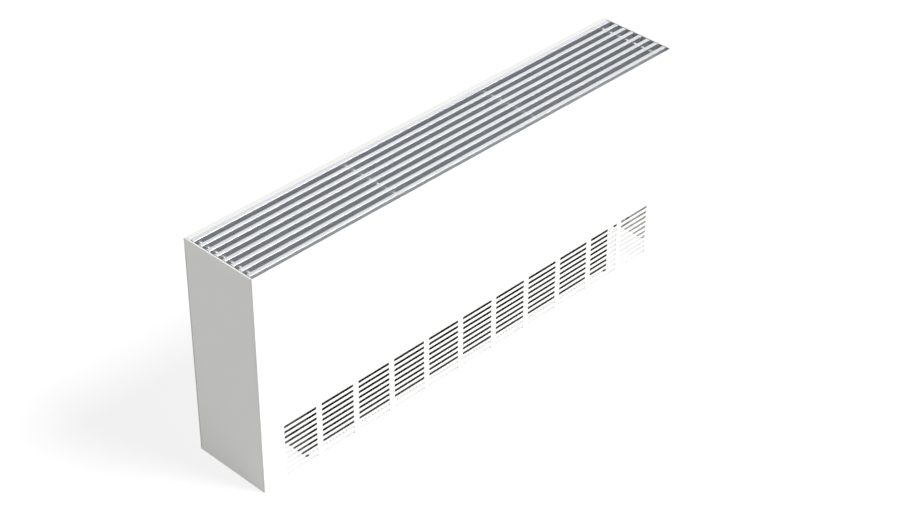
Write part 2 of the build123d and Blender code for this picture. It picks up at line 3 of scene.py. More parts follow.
import bpy
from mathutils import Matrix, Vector


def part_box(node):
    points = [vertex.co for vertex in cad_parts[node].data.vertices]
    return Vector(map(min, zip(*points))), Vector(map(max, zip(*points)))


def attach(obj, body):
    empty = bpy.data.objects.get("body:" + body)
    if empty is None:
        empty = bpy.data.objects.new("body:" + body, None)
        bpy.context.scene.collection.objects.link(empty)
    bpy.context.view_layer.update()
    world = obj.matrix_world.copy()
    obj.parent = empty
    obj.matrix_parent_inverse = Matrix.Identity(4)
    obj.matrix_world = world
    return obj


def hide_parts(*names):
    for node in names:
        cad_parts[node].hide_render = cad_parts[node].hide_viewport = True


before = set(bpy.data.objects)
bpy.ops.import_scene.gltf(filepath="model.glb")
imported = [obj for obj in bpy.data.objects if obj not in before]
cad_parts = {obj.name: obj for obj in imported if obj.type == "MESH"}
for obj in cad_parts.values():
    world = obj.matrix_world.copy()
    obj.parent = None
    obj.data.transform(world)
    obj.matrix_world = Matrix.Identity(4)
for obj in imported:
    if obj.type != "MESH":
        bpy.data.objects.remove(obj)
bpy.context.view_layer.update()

mm = 0.001
throughCut = 12 * mm  # length of a cutter that has to pass through a sheet
longEdge = 0.3  # edges longer than this run along a whole panel or bar
axisTurns = {"X": (0, math.pi / 2, 0), "Y": (math.pi / 2, 0, 0), "Z": (0, 0, 0)}  # for rounds made along Z


def deselectAll():
    bpy.ops.object.select_all(action="DESELECT")


def makeActive(piece):
    deselectAll()
    piece.select_set(True)
    bpy.context.view_layer.objects.active = piece


def settle(piece):
    # place, turn and size go into the mesh
    makeActive(piece)
    bpy.ops.object.transform_apply(location=True, rotation=True, scale=True)


def applyAll(piece):
    makeActive(piece)
    for modifier in list(piece.modifiers):
        bpy.ops.object.modifier_apply(modifier=modifier.name)


def addBlock(name, low, high):
    low, high = Vector(low), Vector(high)
    bpy.ops.mesh.primitive_cube_add(size=1, location=(low + high) / 2)
    piece = bpy.context.object
    piece.name = name
    piece.scale = high - low
    settle(piece)
    return piece


def addSheet(name, centre, facing, width, rise):
    # a flat sheet: width runs along Y when it faces "X" and along X when it faces "Y", rise along Z
    turn = {"X": (math.pi / 2, 0, math.pi / 2), "Y": (math.pi / 2, 0, 0)}[facing]
    bpy.ops.mesh.primitive_plane_add(size=1, location=centre, rotation=turn)
    piece = bpy.context.object
    piece.name = name
    piece.scale = (width, rise, 1)
    settle(piece)
    return piece


def addRound(name, centre, axis, radius, span, sides=32, capped=True):
    # a cylinder centred on a point, along "X", "Y" or "Z"
    bpy.ops.mesh.primitive_cylinder_add(vertices=sides, radius=radius, depth=span, location=centre,
                                        rotation=axisTurns[axis],
                                        end_fill_type="NGON" if capped else "NOTHING")
    piece = bpy.context.object
    piece.name = name
    settle(piece)
    return piece


def addHexagon(name, centre, axis, flats, span, chamfer):
    # a hexagonal bar whose corners are turned off at both ends
    bpy.ops.mesh.primitive_cylinder_add(vertices=6, radius=flats / math.sqrt(3), depth=span,
                                        rotation=(0, 0, math.pi / 6))
    piece = bpy.context.object
    piece.name = name
    settle(piece)
    turned = addRound("turned", (0, 0, 0), "Z", flats / math.sqrt(3), span, 60)
    bevelPicked(turned, lambda a, b: abs(a.z - b.z) < span / 2, chamfer, 1)
    cutWith(piece, turned, "INTERSECT")
    piece.rotation_euler = axisTurns[axis]
    piece.location = centre
    settle(piece)
    return piece


def addRing(name, centre, axis, ringRadius, wireRadius, around=48, across=20):
    bpy.ops.mesh.primitive_torus_add(location=centre, rotation=axisTurns[axis], major_radius=ringRadius,
                                     minor_radius=wireRadius, major_segments=around, minor_segments=across)
    piece = bpy.context.object
    piece.name = name
    settle(piece)
    return piece


def copyPiece(piece, name, shift, turn=0):
    twin = piece.copy()
    twin.data = piece.data.copy()
    twin.name = name
    bpy.context.collection.objects.link(twin)
    twin.rotation_euler = (0, 0, turn)
    twin.location = shift
    settle(twin)
    return twin


def joinPieces(name, pieces):
    deselectAll()
    for piece in pieces:
        piece.select_set(True)
    bpy.context.view_layer.objects.active = pieces[0]
    if len(pieces) > 1:
        bpy.ops.object.join()
    pieces[0].name = name
    return pieces[0]


def pickEdges(piece, test):
    # leaves the piece in edit mode with the edges that pass the test selected
    makeActive(piece)
    bpy.ops.object.mode_set(mode="EDIT")
    bpy.ops.mesh.select_mode(type="EDGE")
    bpy.ops.mesh.select_all(action="DESELECT")
    bpy.ops.object.mode_set(mode="OBJECT")
    points = piece.data.vertices
    for edge in piece.data.edges:
        edge.select = test(points[edge.vertices[0]].co, points[edge.vertices[1]].co)
    bpy.ops.object.mode_set(mode="EDIT")


def leaveEdit():
    bpy.ops.object.mode_set(mode="OBJECT")


def bevelPicked(piece, test, width, steps):
    pickEdges(piece, test)
    bpy.ops.mesh.bevel(offset=width, segments=steps, affect="EDGES")
    leaveEdit()


def cutWith(piece, cutter, operation="DIFFERENCE"):
    cut = piece.modifiers.new("cut", "BOOLEAN")
    cut.object = cutter
    cut.operation = operation
    cut.solver = "EXACT"
    applyAll(piece)
    bpy.data.objects.remove(cutter)


def thicken(piece, wall, side=-1, even=False):
    sheet = piece.modifiers.new("sheet", "SOLIDIFY")
    sheet.thickness = wall
    sheet.offset = side
    sheet.use_even_offset = even
    applyAll(piece)


def repeatPiece(piece, count, shift):
    row = piece.modifiers.new("repeat", "ARRAY")
    row.use_relative_offset = False
    row.use_constant_offset = True
    row.constant_offset_displace = shift
    row.count = count
    applyAll(piece)


def breakEdges(piece, width, segments=2, angle=35):
    edge = piece.modifiers.new("edge", "BEVEL")
    edge.width = width
    edge.segments = segments
    edge.limit_method = "ANGLE"
    edge.angle_limit = math.radians(angle)
    edge.use_clamp_overlap = True
    applyAll(piece)


def shadeByAngle(piece, angle=35):
    # smooth rounds, and flat faces that stay flat beside them
    makeActive(piece)
    bpy.ops.object.shade_smooth_by_angle(angle=math.radians(angle))
    flats = piece.modifiers.new("flats", "WEIGHTED_NORMAL")
    flats.keep_sharp = True
    applyAll(piece)


def setMaterial(piece, material):
    piece.data.materials.clear()
    piece.data.materials.append(material)


def finishPiece(piece, node, body, material):
    setMaterial(piece, material)
    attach(piece, body)
    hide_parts(node)


cameraValues = {"place": (-2.0850, -2.0796, 2.2580), "heading": 45.285, "tilt": 35.40, "lens": 89.46,
                "sensor": 36, "farthest": 50}


def addCamera(v):
    bpy.ops.object.camera_add(location=v["place"],
                              rotation=(math.radians(90 - v["tilt"]), 0, -math.radians(v["heading"])))
    camera = bpy.context.object
    camera.data.sensor_width = v["sensor"]
    camera.data.lens = v["lens"]
    camera.data.clip_end = v["farthest"]
    bpy.context.scene.camera = camera


deselectAll()
addCamera(cameraValues)
print("camera set")


def newMaterial(name):
    material = bpy.data.materials.new(name)
    material.use_nodes = True
    return material, material.node_tree.nodes, material.node_tree.links


def noiseOn(nodes, links, scale, stretch=(1, 1, 1), detail=4):
    place = nodes.new("ShaderNodeTexCoord")
    mapping = nodes.new("ShaderNodeMapping")
    mapping.inputs["Scale"].default_value = stretch
    noise = nodes.new("ShaderNodeTexNoise")
    noise.inputs["Scale"].default_value = scale
    noise.inputs["Detail"].default_value = detail
    links.new(place.outputs["Object"], mapping.inputs["Vector"])
    links.new(mapping.outputs["Vector"], noise.inputs["Vector"])
    return noise.outputs["Fac"]


def tones(nodes, links, factor, low, high, lowAt=0.3, highAt=0.7):
    ramp = nodes.new("ShaderNodeValToRGB")
    ramp.color_ramp.elements[0].position = lowAt
    ramp.color_ramp.elements[1].position = highAt
    ramp.color_ramp.elements[0].color = (*low, 1)
    ramp.color_ramp.elements[1].color = (*high, 1)
    links.new(factor, ramp.inputs["Fac"])
    return ramp.outputs["Color"]


def spread(nodes, links, factor, low, high):
    # the noise seldom leaves the range 0.25 to 0.75
    scale = nodes.new("ShaderNodeMapRange")
    scale.inputs["From Min"].default_value = 0.25
    scale.inputs["From Max"].default_value = 0.75
    scale.inputs["To Min"].default_value = low
    scale.inputs["To Max"].default_value = high
    links.new(factor, scale.inputs["Value"])
    return scale.outputs["Result"]


def surface(v):
    # one finish: two close tones, a roughness range and a fine relief, all on object coordinates
    material, nodes, links = newMaterial(v["name"])
    shader = nodes["Principled BSDF"]
    shader.inputs["Metallic"].default_value = v.get("metallic", 0)
    shader.inputs["Coat Weight"].default_value = v.get("coat", 0)
    shader.inputs["Coat Roughness"].default_value = v.get("coatRough", 0.2)
    shader.inputs["Anisotropic"].default_value = v.get("anisotropic", 0)
    stretch = v.get("stretch", (1, 1, 1))
    patches = noiseOn(nodes, links, v["patchScale"], stretch)
    links.new(tones(nodes, links, patches, v["dark"], v["light"]), shader.inputs["Base Color"])
    links.new(spread(nodes, links, patches, *v["rough"]), shader.inputs["Roughness"])
    grain = noiseOn(nodes, links, v["grainScale"], stretch, detail=3)
    bump = nodes.new("ShaderNodeBump")
    bump.inputs["Strength"].default_value = v["grain"]
    bump.inputs["Distance"].default_value = v["grainDepth"]
    links.new(grain, bump.inputs["Height"])
    links.new(bump.outputs["Normal"], shader.inputs["Normal"])
    return material


powderWhite = surface({"name": "powderWhite", "dark": (0.795, 0.79, 0.765), "light": (0.815, 0.81, 0.79),
                       "rough": (0.38, 0.46), "patchScale": 6, "grainScale": 900, "grain": 0.12,
                       "grainDepth": 0.0002, "coat": 0.08, "coatRough": 0.35})
railWhite = surface({"name": "railWhite", "dark": (0.78, 0.78, 0.765), "light": (0.82, 0.82, 0.805),
                     "rough": (0.45, 0.55), "patchScale": 9, "grainScale": 900, "grain": 0.15,
                     "grainDepth": 0.0002})
anodised = surface({"name": "anodised", "dark": (0.76, 0.785, 0.82), "light": (0.83, 0.85, 0.88),
                    "rough": (0.26, 0.36), "patchScale": 60, "grainScale": 700, "grain": 0.08,
                    "grainDepth": 0.0001, "metallic": 0.86, "stretch": (0.02, 1, 1), "anisotropic": 0.4})
# steel for the tie rods and spacers, toned darker than bare steel as painted shade for where they sit down in
# the grille gaps
steelPaintedShade = surface({"name": "steelPaintedShade", "dark": (0.27, 0.275, 0.28), "light": (0.34, 0.345, 0.35),
                       "rough": (0.42, 0.55), "patchScale": 80, "grainScale": 1200, "grain": 0.1,
                       "grainDepth": 0.0001, "metallic": 1})
zincPlate = surface({"name": "zincPlate", "dark": (0.58, 0.60, 0.62), "light": (0.76, 0.77, 0.75),
                     "rough": (0.28, 0.45), "patchScale": 160, "grainScale": 1500, "grain": 0.1,
                     "grainDepth": 0.0001, "metallic": 1})
# graphite coat on the heat exchanger, kept near-black so that its colour also stands in as painted shade for
# the inside of the casing
graphiteCoatPaintedShade = surface({"name": "graphiteCoatPaintedShade", "dark": (0.070, 0.073, 0.077), "light": (0.092, 0.095, 0.099),
                        "rough": (0.42, 0.55), "patchScale": 25, "grainScale": 1100, "grain": 0.15,
                        "grainDepth": 0.0002})
nickel = surface({"name": "nickel", "dark": (0.60, 0.58, 0.53), "light": (0.72, 0.70, 0.65),
                  "rough": (0.16, 0.3), "patchScale": 70, "grainScale": 900, "grain": 0.1,
                  "grainDepth": 0.0001, "metallic": 1})
bareBrass = surface({"name": "bareBrass", "dark": (0.58, 0.42, 0.17), "light": (0.78, 0.62, 0.32),
                     "rough": (0.22, 0.4), "patchScale": 60, "grainScale": 900, "grain": 0.1,
                     "grainDepth": 0.0001, "metallic": 1})
fibre = surface({"name": "fibre", "dark": (0.05, 0.05, 0.05), "light": (0.10, 0.10, 0.095),
                 "rough": (0.75, 0.9), "patchScale": 300, "grainScale": 1800, "grain": 0.4,
                 "grainDepth": 0.0003})
wheelPlastic = surface({"name": "wheelPlastic", "dark": (0.80, 0.80, 0.77), "light": (0.85, 0.85, 0.825),
                        "rough": (0.42, 0.5), "patchScale": 40, "grainScale": 2500, "grain": 0.2,
                        "grainDepth": 0.0001})


def galvanisedSteel(v):
    # zinc spangle: large flat crystals, each with its own tone and gloss
    material, nodes, links = newMaterial("galvanised")
    shader = nodes["Principled BSDF"]
    shader.inputs["Metallic"].default_value = 1
    place = nodes.new("ShaderNodeTexCoord")
    crystals = nodes.new("ShaderNodeTexVoronoi")
    crystals.inputs["Scale"].default_value = v["spangle"]
    links.new(place.outputs["Object"], crystals.inputs["Vector"])
    single = nodes.new("ShaderNodeSeparateColor")
    links.new(crystals.outputs["Color"], single.inputs["Color"])
    links.new(tones(nodes, links, single.outputs["Red"], v["dark"], v["light"], 0, 1),
              shader.inputs["Base Color"])
    links.new(spread(nodes, links, single.outputs["Green"], *v["rough"]), shader.inputs["Roughness"])
    return material


galvanised = galvanisedSteel({"spangle": 140, "dark": (0.50, 0.52, 0.54), "light": (0.68, 0.70, 0.71),
                              "rough": (0.32, 0.5)})
print("materials ready")


frontValues = {"rows": 10, "groups": 11, "rowPitch": 10.2 * mm, "slotHeight": 5.4 * mm, "lowest": 10.8 * mm,
               "bridge": 11.4 * mm, "leftMargin": 45 * mm, "rightMargin": 40 * mm, "slotCorner": 1.0 * mm,
               "edge": 0.3 * mm}


def buildFrontPanel(v):
    low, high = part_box("front_panel")
    panel = addBlock("frontPanel", low, high)
    groupPitch = (high.x - low.x - v["leftMargin"] - v["rightMargin"] + v["bridge"]) / v["groups"]
    reach = 4 * mm
    slot = addBlock("slot", (low.x + v["leftMargin"], low.y - reach, v["lowest"] - v["slotHeight"] / 2),
                    (low.x + v["leftMargin"] + groupPitch - v["bridge"], high.y + reach,
                     v["lowest"] + v["slotHeight"] / 2))
    bevelPicked(slot, lambda a, b: abs(a.y - b.y) > reach, v["slotCorner"], 3)
    repeatPiece(slot, v["groups"], (groupPitch, 0, 0))
    repeatPiece(slot, v["rows"], (0, 0, v["rowPitch"]))
    cutWith(panel, slot)
    breakEdges(panel, v["edge"], segments=1)
    shadeByAngle(panel, 25)
    finishPiece(panel, "front_panel", "front", powderWhite)


buildFrontPanel(frontValues)
print("front panel built")


endValues = {"sheet": 2.5 * mm, "fold": 20 * mm, "foldRadius": 2.2 * mm, "foldDrop": 20 * mm,
             "edge": 0.35 * mm, "clipSlot": (4 * mm, 14 * mm), "clipHalf": 6 * mm}


def buildEndPanel(side, v):
    node = f"{side}_end_panel"
    low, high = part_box(node)
    outer = low.x if side == "left" else high.x
    inward = 1 if side == "left" else -1
    foldTop = high.z - v["foldDrop"]
    panel = addSheet(f"{side}EndPanel", (outer, (low.y + high.y) / 2, (low.z + high.z) / 2), "X",
                     high.y - low.y, high.z - low.z)
    bpy.ops.object.mode_set(mode="EDIT")
    bpy.ops.mesh.select_all(action="SELECT")
    bpy.ops.mesh.bisect(plane_co=(0, 0, foldTop), plane_no=(0, 0, 1))
    leaveEdit()
    # the returns are folded from the two upright edges below the grille
    pickEdges(panel, lambda a, b: abs(a.z - b.z) > longEdge and abs(a.y - b.y) < mm)
    bpy.ops.mesh.extrude_region_move(
        TRANSFORM_OT_translate={"value": (inward * (v["fold"] + v["sheet"]), 0, 0)})
    leaveEdit()
    pickEdges(panel, lambda a, b: abs(a.z - b.z) > longEdge and abs(a.x - outer) < mm / 10)
    bpy.ops.mesh.bevel(offset=v["foldRadius"], segments=4, affect="EDGES")
    bpy.ops.mesh.select_all(action="SELECT")
    bpy.ops.mesh.normals_make_consistent(inside=False)
    leaveEdit()
    outwardFaces = sum(f.normal.x * f.area for f in panel.data.polygons) * inward < 0
    thicken(panel, v["sheet"], -1 if outwardFaces else 1, even=True)
    for level in clipLevels(v["clipHalf"]):
        middleX = outer + inward * (v["sheet"] + v["fold"] / 2)
        half = Vector((v["clipSlot"][0] / 2, throughCut / 2, v["clipSlot"][1] / 2))
        centre = Vector((middleX, low.y, level))
        cutWith(panel, addBlock("clipSlot", centre - half, centre + half))
    breakEdges(panel, v["edge"])
    shadeByAngle(panel)
    finishPiece(panel, node, "casing", powderWhite)


def clipLevels(half):
    # the clips stand in two rows, at the lowest and highest part of their node
    low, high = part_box("panel_clips")
    return low.z + half, high.z - half


for side in ("left", "right"):
    buildEndPanel(side, endValues)
print("end panels built")


backValues = {"sheet": 1.2 * mm, "flangeInset": 2.9 * mm, "foldRadius": 1.4 * mm, "edge": 0.25 * mm,
              "holeRadius": 4 * mm, "holeSpacing": 600 * mm, "holeLevels": (170 * mm, 320 * mm),
              "screwHole": 2.05 * mm, "screwSide": 447.5 * mm, "screwLevels": (60 * mm, 200 * mm, 304 * mm)}


def buildBackPanel(v):
    low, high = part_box("back_panel")
    panel = addSheet("backPanel", (0, high.y, (low.z + high.z) / 2), "Y", high.x - low.x, high.z - low.z)
    flangeEnd = high.x - v["flangeInset"]
    bpy.ops.object.mode_set(mode="EDIT")
    for x in (-flangeEnd, flangeEnd):
        bpy.ops.mesh.select_all(action="SELECT")
        bpy.ops.mesh.bisect(plane_co=(x, 0, 0), plane_no=(1, 0, 0))
    leaveEdit()
    # the middle of the top edge is folded forwards beside the grille
    pickEdges(panel, lambda a, b: min(a.z, b.z) > high.z - mm and abs(a.x - b.x) > longEdge)
    bpy.ops.mesh.extrude_region_move(TRANSFORM_OT_translate={"value": (0, low.y - high.y, 0)})
    leaveEdit()
    pickEdges(panel, lambda a, b: min(a.z, b.z) > high.z - mm and abs(a.x - b.x) > longEdge
              and min(a.y, b.y) > high.y - mm)
    bpy.ops.mesh.bevel(offset=v["foldRadius"], segments=3, affect="EDGES")
    bpy.ops.mesh.select_all(action="SELECT")
    bpy.ops.mesh.normals_make_consistent(inside=False)
    leaveEdit()
    outwardFaces = sum(f.normal.y * f.area for f in panel.data.polygons) > 0
    thicken(panel, v["sheet"], -1 if outwardFaces else 1, even=True)
    for x in (-v["holeSpacing"] / 2, v["holeSpacing"] / 2):
        for level in v["holeLevels"]:
            cutWith(panel, addRound("wallHole", (x, high.y, level), "Y", v["holeRadius"], throughCut, 40))
    for x in (-v["screwSide"], v["screwSide"]):
        for level in v["screwLevels"]:
            cutWith(panel, addRound("screwHole", (x, high.y, level), "Y", v["screwHole"], throughCut, 24))
    breakEdges(panel, v["edge"])
    shadeByAngle(panel)
    finishPiece(panel, "back_panel", "casing", powderWhite)


buildBackPanel(backValues)
print("back panel built")


barValues = {"edge": 0.7 * mm, "endEdge": 0.15 * mm, "notchGap": 0.4 * mm}


def buildGrilleBars(v):
    low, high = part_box("grille_bar_1")
    bar = addBlock("grilleBar1", low, high)
    bevelPicked(bar, lambda a, b: abs(a.x - b.x) > longEdge and min(a.z, b.z) > high.z - mm, v["edge"], 4)
    for side in ("left", "right"):
        braceLow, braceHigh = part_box(f"{side}_brace")
        cutWith(bar, addBlock("notch", (braceLow.x - v["notchGap"], low.y - mm, low.z - mm),
                              (braceHigh.x + v["notchGap"], high.y + mm, braceHigh.z + v["notchGap"])))
    breakEdges(bar, v["endEdge"], segments=1, angle=60)
    shadeByAngle(bar)
    number = 1
    bars = [bar]
    while f"grille_bar_{number + 1}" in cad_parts:
        number += 1
        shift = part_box(f"grille_bar_{number}")[0].y - low.y
        bars.append(copyPiece(bar, f"grilleBar{number}", (0, shift, 0)))
    for index, piece in enumerate(bars, start=1):
        finishPiece(piece, f"grille_bar_{index}", "grille", anodised)


buildGrilleBars(barValues)
print("grille bars built")


finValues = {"sheet": 0.3 * mm, "spacing": 7 * mm, "nominal": 0.4 * mm, "ripple": 0.7 * mm,
             "rippleLength": 12.5 * mm, "rippleDepth": 22 * mm, "collar": 2.2 * mm, "collarWall": 0.35 * mm,
             "tubeFit": 0.05 * mm, "columns": 10, "rows": 16}


def buildFinPack(v):
    low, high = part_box("fin_pack")
    count = round((high.x - low.x - v["nominal"]) / v["spacing"]) + 1
    pitch = (high.x - low.x - v["nominal"]) / (count - 1)
    bpy.ops.mesh.primitive_grid_add(x_subdivisions=v["rows"], y_subdivisions=v["columns"], size=1,
                                    location=(low.x + v["ripple"], *((low + high) / 2).yz),
                                    rotation=(0, math.pi / 2, 0))
    fin = bpy.context.object
    fin.name = "finPack"
    fin.scale = (high.z - low.z, high.y - low.y, 1)
    settle(fin)
    for point in fin.data.vertices:  # front and rear edges are pressed into a ripple
        fromEdge = min(point.co.y - low.y, high.y - point.co.y)
        fade = max(0.0, 1 - fromEdge / v["rippleDepth"])
        point.co.x += v["ripple"] * fade * math.sin(2 * math.pi * (point.co.z - low.z) / v["rippleLength"])
    thicken(fin, v["sheet"])
    collars = []
    for row in ("front", "rear"):
        for level in ("upper", "lower"):
            tubeLow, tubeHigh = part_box(f"{row}_{level}_tube")
            y, z = (tubeLow.y + tubeHigh.y) / 2, (tubeLow.z + tubeHigh.z) / 2
            radius = (tubeHigh.z - tubeLow.z) / 2 + v["tubeFit"]
            cutWith(fin, addRound("tubeHole", (low.x, y, z), "X", radius, throughCut, 24))
            collar = addRound("collar", (low.x + v["ripple"] + v["collar"] / 2, y, z), "X",
                              radius + v["collarWall"], v["collar"], 24, capped=False)
            thicken(collar, v["collarWall"])
            collars.append(collar)
    fin = joinPieces("finPack", [fin, *collars])
    repeatPiece(fin, count - 1, (pitch, 0, 0))
    shadeByAngle(fin, 40)
    # the fins' near-black coat is partly painted shade
    finishPiece(fin, "fin_pack", "casing", graphiteCoatPaintedShade)


buildFinPack(finValues)
print("fins built")


bendValues = {"wall": 1.0 * mm, "bead": 0.45 * mm, "around": 72, "across": 28}


def buildBend(name, node, plane, v):
    # half a ring of tube, with a brazing bead where each end meets its straight tube
    low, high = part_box(node)
    middleY, middleZ = (low.y + high.y) / 2, (low.z + high.z) / 2
    if plane == "upright":
        tube, reach = (high.y - low.y) / 2, (high.z - low.z) / 2
        centre, axis, keep, along = Vector((high.x, middleY, middleZ)), "Y", (-1, 0, 0), Vector((0, 0, 1))
    else:
        tube, reach = (high.z - low.z) / 2, (high.y - low.y) / 2
        centre, axis, keep, along = Vector((low.x, middleY, middleZ)), "Z", (1, 0, 0), Vector((0, 1, 0))
    bend = addRing(name, centre, axis, reach - tube, tube, v["around"], v["across"])
    bpy.ops.object.mode_set(mode="EDIT")
    bpy.ops.mesh.select_all(action="SELECT")
    bpy.ops.mesh.bisect(plane_co=centre, plane_no=keep, clear_inner=True)
    leaveEdit()
    thicken(bend, v["wall"])
    beads = [addRing("bead", centre + along * (reach - tube) * way, "X", tube, v["bead"], 32, 10)
             for way in (-1, 1)]
    bend = joinPieces(name, [bend, *beads])
    shadeByAngle(bend, 50)
    # the bends' near-black coat is partly painted shade
    finishPiece(bend, node, "casing", graphiteCoatPaintedShade)


buildBend("frontReturnBend", "front_return_bend", "upright", bendValues)
buildBend("rearReturnBend", "rear_return_bend", "upright", bendValues)
buildBend("crossoverBend", "crossover_bend", "level", bendValues)
print("bends built")


valveValues = {"barrel": 13.5 * mm, "hexFlats": 28 * mm, "hexHeight": 16 * mm, "spigot": 12 * mm,
               "thread": 9.3 * mm, "threadLength": 14 * mm, "threadPitch": 1.8 * mm, "threadDepth": 0.55 * mm,
               "threadStart": 1.08 * mm, "chamfer": 1.4 * mm, "edge": 0.5 * mm}
bonnetValues = {"seat": 8.95 * mm, "flats": 24 * mm, "hexHeight": 8 * mm, "neck": 8 * mm,
                "neckHeight": 11 * mm, "bore": 3.05 * mm, "chamfer": 1.2 * mm, "groove": 0.5 * mm,
                "grooveRise": 1.5 * mm}
nutValues = {"flats": 30 * mm, "chamfer": 1.8 * mm, "tail": 9.55 * mm, "spigot": 12.05 * mm, "back": 4.5 * mm}


def valveAxis(row):
    low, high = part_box(f"{row}_plug")
    return (low.x + high.x) / 2, (low.y + high.y) / 2


def buildValveBody(row, v):
    low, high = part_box(f"{row}_valve_body")
    x, y = valveAxis(row)
    tubeLow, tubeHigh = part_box(f"{'front' if row == 'supply' else 'rear'}_upper_tube")
    tubeZ = (tubeLow.z + tubeHigh.z) / 2
    body = addRound(f"{row}ValveBody", (x, y, (low.z + high.z) / 2), "Z", v["barrel"], high.z - low.z, 56)
    bevelPicked(body, lambda a, b: abs(a.z - b.z) < mm, v["edge"], 3)
    cutWith(body, addHexagon("hexEnd", (x, y, low.z + v["hexHeight"] / 2), "Z", v["hexFlats"], v["hexHeight"],
                             v["chamfer"]), "UNION")
    cutWith(body, addRound("spigot", ((low.x + x) / 2, y, tubeZ), "X", v["spigot"], x - low.x, 48), "UNION")
    cutWith(body, addRound("inlet", (x, y, low.z + v["threadLength"] / 2 - mm), "Z", v["thread"],
                           v["threadLength"] + 2 * mm, 48))
    for turn in range(int(v["threadLength"] / v["threadPitch"])):
        level = low.z + v["threadStart"] + turn * v["threadPitch"]
        cutWith(body, addRing("thread", (x, y, level), "Z", v["thread"], v["threadDepth"], 48, 4))
    shadeByAngle(body, 30)
    finishPiece(body, f"{row}_valve_body", "casing", nickel)


def buildBonnet(row, v):
    low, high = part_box(f"{row}_bonnet")
    x, y = valveAxis(row)
    hexBottom = high.z - v["neckHeight"] - v["hexHeight"]
    neckBottom = high.z - v["neckHeight"]
    seat = addRound(f"{row}Bonnet", (x, y, (low.z + hexBottom) / 2 + mm / 2), "Z", v["seat"],
                    hexBottom - low.z + mm, 48)
    hexagon = addHexagon("hexagon", (x, y, (hexBottom + neckBottom) / 2), "Z", v["flats"], v["hexHeight"],
                         v["chamfer"])
    neck = addRound("neck", (x, y, (neckBottom + high.z) / 2 - mm / 2), "Z", v["neck"],
                    v["neckHeight"] + mm, 48)
    bevelPicked(neck, lambda a, b: min(a.z, b.z) > high.z - mm / 2, 2 * v["groove"], 3)
    cutWith(neck, addRing("groove", (x, y, neckBottom + v["grooveRise"]), "Z", v["neck"], v["groove"],
                          across=12))
    for part in (hexagon, neck):
        cutWith(seat, part, "UNION")
    cutWith(seat, addRound("bore", (x, y, (low.z + high.z) / 2), "Z", v["bore"], high.z - low.z + 4 * mm, 32))
    shadeByAngle(seat, 30)
    finishPiece(seat, f"{row}_bonnet", "casing", nickel)


def buildUnionNut(row, v):
    low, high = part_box(f"{row}_union_nut")
    centre = (low + high) / 2
    span = high.x - low.x
    nut = addHexagon(f"{row}UnionNut", centre, "X", v["flats"], span, v["chamfer"])
    cutWith(nut, addRound("tailBore", centre, "X", v["tail"], span + 4 * mm, 48))
    start = low.x + v["back"]
    cutWith(nut, addRound("spigotBore", ((start + high.x) / 2 + mm, centre.y, centre.z), "X", v["spigot"],
                          high.x - start + 2 * mm, 48))
    shadeByAngle(nut, 30)
    finishPiece(nut, f"{row}_union_nut", "casing", nickel)


for row in ("supply", "return"):
    buildValveBody(row, valveValues)
    buildBonnet(row, bonnetValues)
    buildUnionNut(row, nutValues)
print("valves built")


wheelValues = {"grips": 12, "gripRadius": 3 * mm, "gripDepth": 1.6 * mm, "skirt": 4 * mm, "crown": 3 * mm,
               "edge": 0.6 * mm, "neck": 8.05 * mm, "hollow": 6 * mm, "top": 8 * mm, "dish": 12 * mm,
               "dishDepth": 0.7 * mm, "dishRound": 0.8}
capValues = {"grips": 20, "gripRadius": 1.1 * mm, "gripDepth": 0.5 * mm, "skirt": 3 * mm, "crown": 2 * mm,
             "edge": 0.4 * mm, "neck": 8.3 * mm, "hollow": 6 * mm, "top": 8 * mm, "dish": 6.5 * mm,
             "dishDepth": 0.5 * mm, "dishRound": 0.8}


def buildKnob(name, node, neckTop, v):
    # a moulded cap: rounded crown, scalloped grip, dished top, hollow inside
    low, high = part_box(node)
    x, y = (low.x + high.x) / 2, (low.y + high.y) / 2
    radius = (high.x - low.x) / 2
    knob = addRound(name, (x, y, (low.z + high.z) / 2), "Z", radius, high.z - low.z, 96)
    bevelPicked(knob, lambda a, b: min(a.z, b.z) > high.z - mm, v["crown"], 6)
    bevelPicked(knob, lambda a, b: max(a.z, b.z) < low.z + mm, v["edge"], 3)
    for grip in range(v["grips"]):
        angle = 2 * math.pi * grip / v["grips"]
        away = radius + v["gripRadius"] - v["gripDepth"]
        place = (x + away * math.cos(angle), y + away * math.sin(angle), (low.z + high.z) / 2 + v["skirt"])
        cutWith(knob, addRound("grip", place, "Z", v["gripRadius"], high.z - low.z, 24))
    dish = addRound("dish", (x, y, high.z), "Z", v["dish"], 2 * v["dishDepth"], 64)
    bevelPicked(dish, lambda a, b: max(a.z, b.z) < high.z, v["dishDepth"] * v["dishRound"], 3)
    cutWith(knob, dish)
    cutWith(knob, addRound("neckBore", (x, y, (low.z - mm + neckTop) / 2), "Z", v["neck"],
                           neckTop - low.z + mm, 48))
    hollowTop = high.z - v["top"]
    cutWith(knob, addRound("hollow", (x, y, (neckTop + hollowTop) / 2 - mm / 2), "Z", v["hollow"],
                           hollowTop - neckTop + mm, 32))
    shadeByAngle(knob, 32)
    finishPiece(knob, node, node, wheelPlastic)


buildKnob("handwheelKnob", "handwheel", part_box("supply_bonnet")[1].z, wheelValues)
buildKnob("lockshieldKnob", "lockshield_cap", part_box("return_bonnet")[1].z, capValues)
print("handwheel and cap built")


screwValues = {"headRadius": 3.8 * mm, "headHeight": 2.2 * mm, "crown": 1.32 * mm, "shank": 2 * mm,
               "crossWidth": 0.9 * mm, "crossReach": 2.2 * mm, "crossDepth": 1.2 * mm,
               "casingGrip": 3.66 * mm, "bracketGrip": 1.5 * mm, "bracketEdge": 6 * mm}


